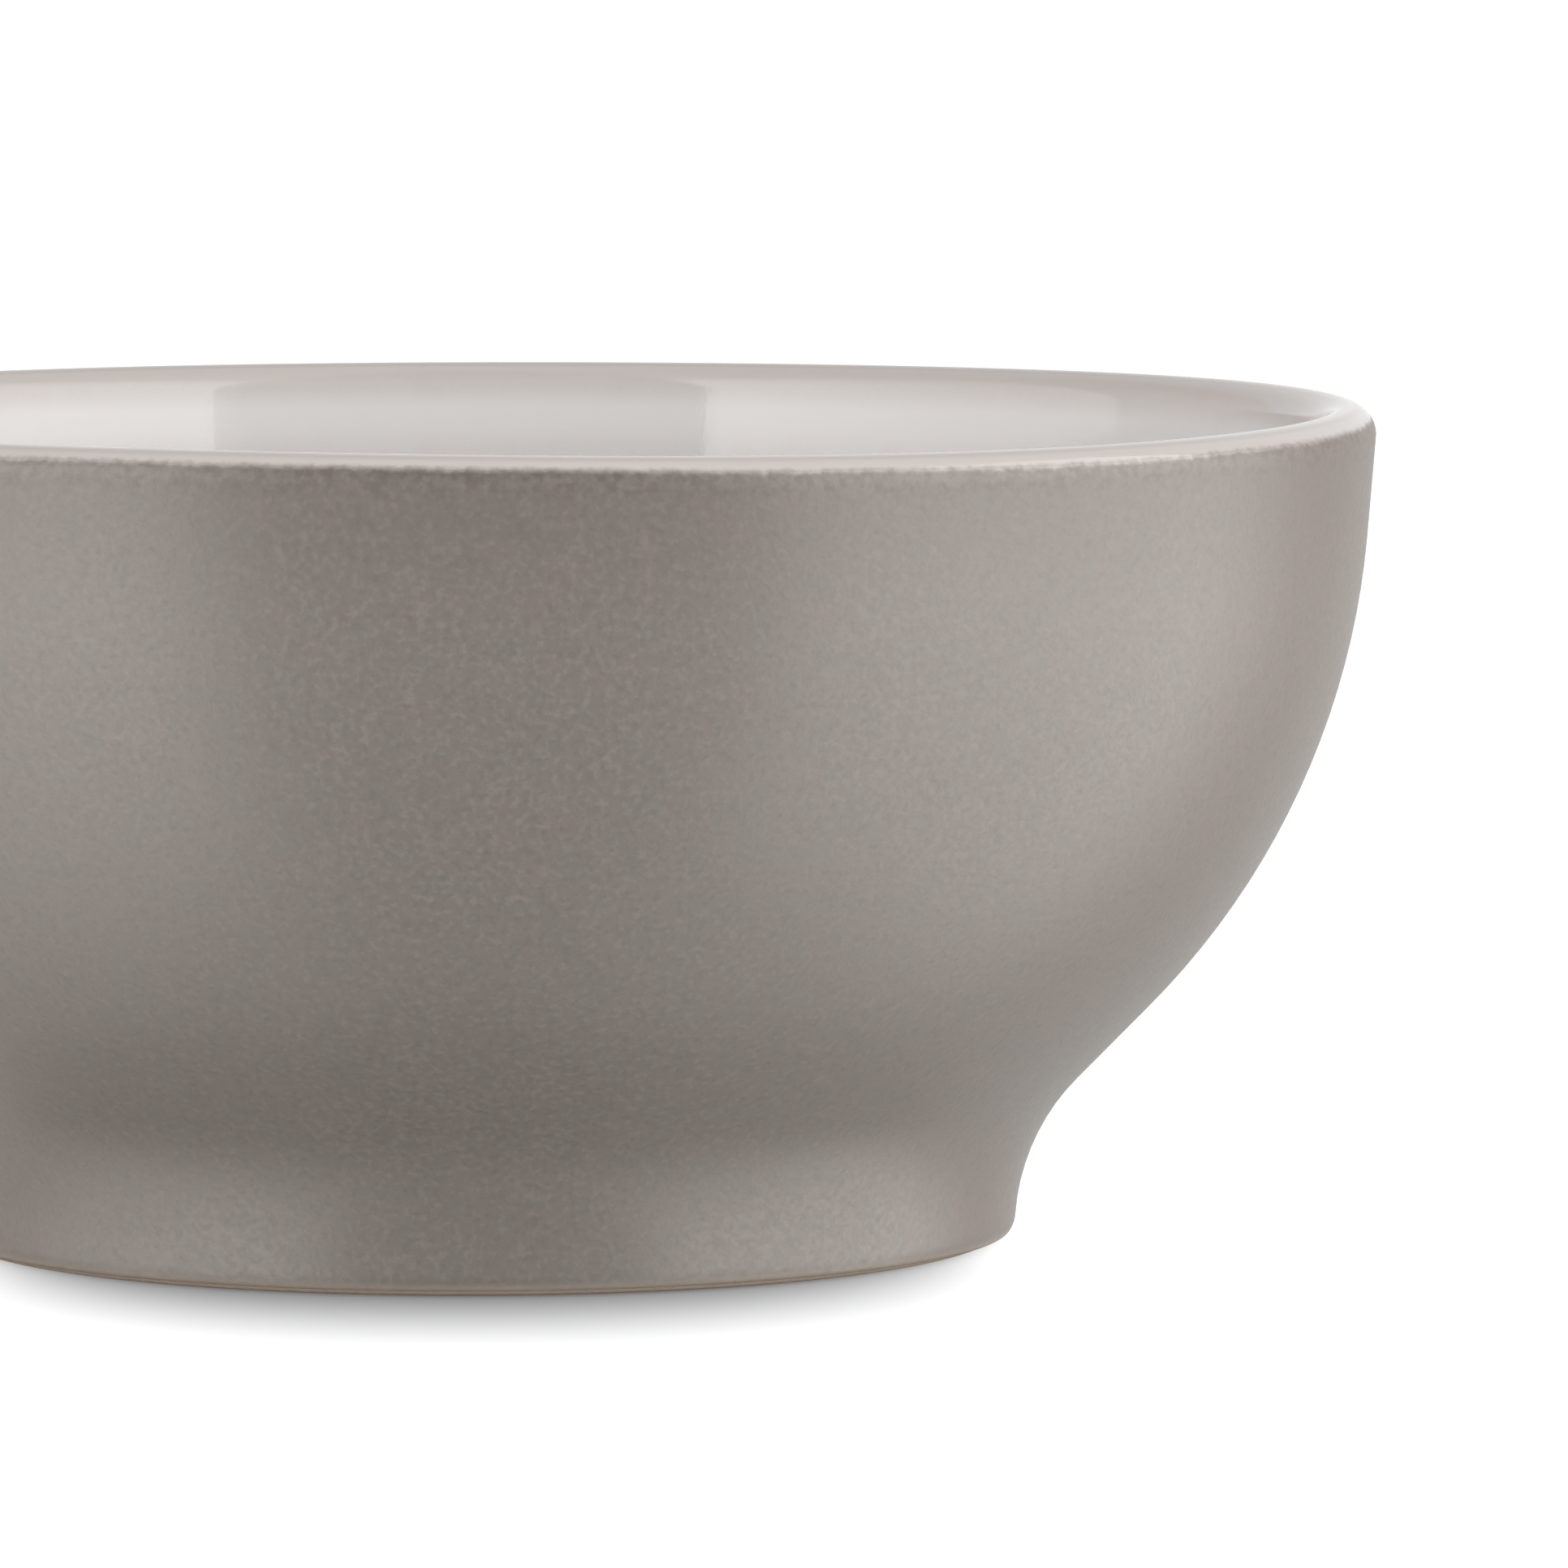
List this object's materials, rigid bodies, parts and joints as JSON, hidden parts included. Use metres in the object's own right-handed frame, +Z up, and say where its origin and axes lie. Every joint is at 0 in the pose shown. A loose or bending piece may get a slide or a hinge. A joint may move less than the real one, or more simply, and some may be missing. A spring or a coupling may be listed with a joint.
{
  "type": "latte bowl",
  "caption": "Wide footed stoneware bowl without a handle: satin speckled grey glaze outside, glossy off-white lining over the lip and a bare turned foot ring. Holds a hot drink or soup.",
  "frame": {"origin": "centre of the foot ring, on the surface that the bowl stands on", "axes": "+Z up along the bowl's axis of revolution; X and Y are any two level directions"},
  "size_m": [0.15, 0.15, 0.0695],
  "materials": {
    "bare_clay": "matte, toasted by the kiln",
    "grey_glaze": "satin, finely speckled",
    "white_glaze": "glossy off-white"
  },
  "bodies": {
    "root": {"clay_body": "bare_clay", "outside_glaze": "grey_glaze", "inside_glaze": "white_glaze", "underside_glaze": "grey_glaze"}
  },
  "joints": []
}
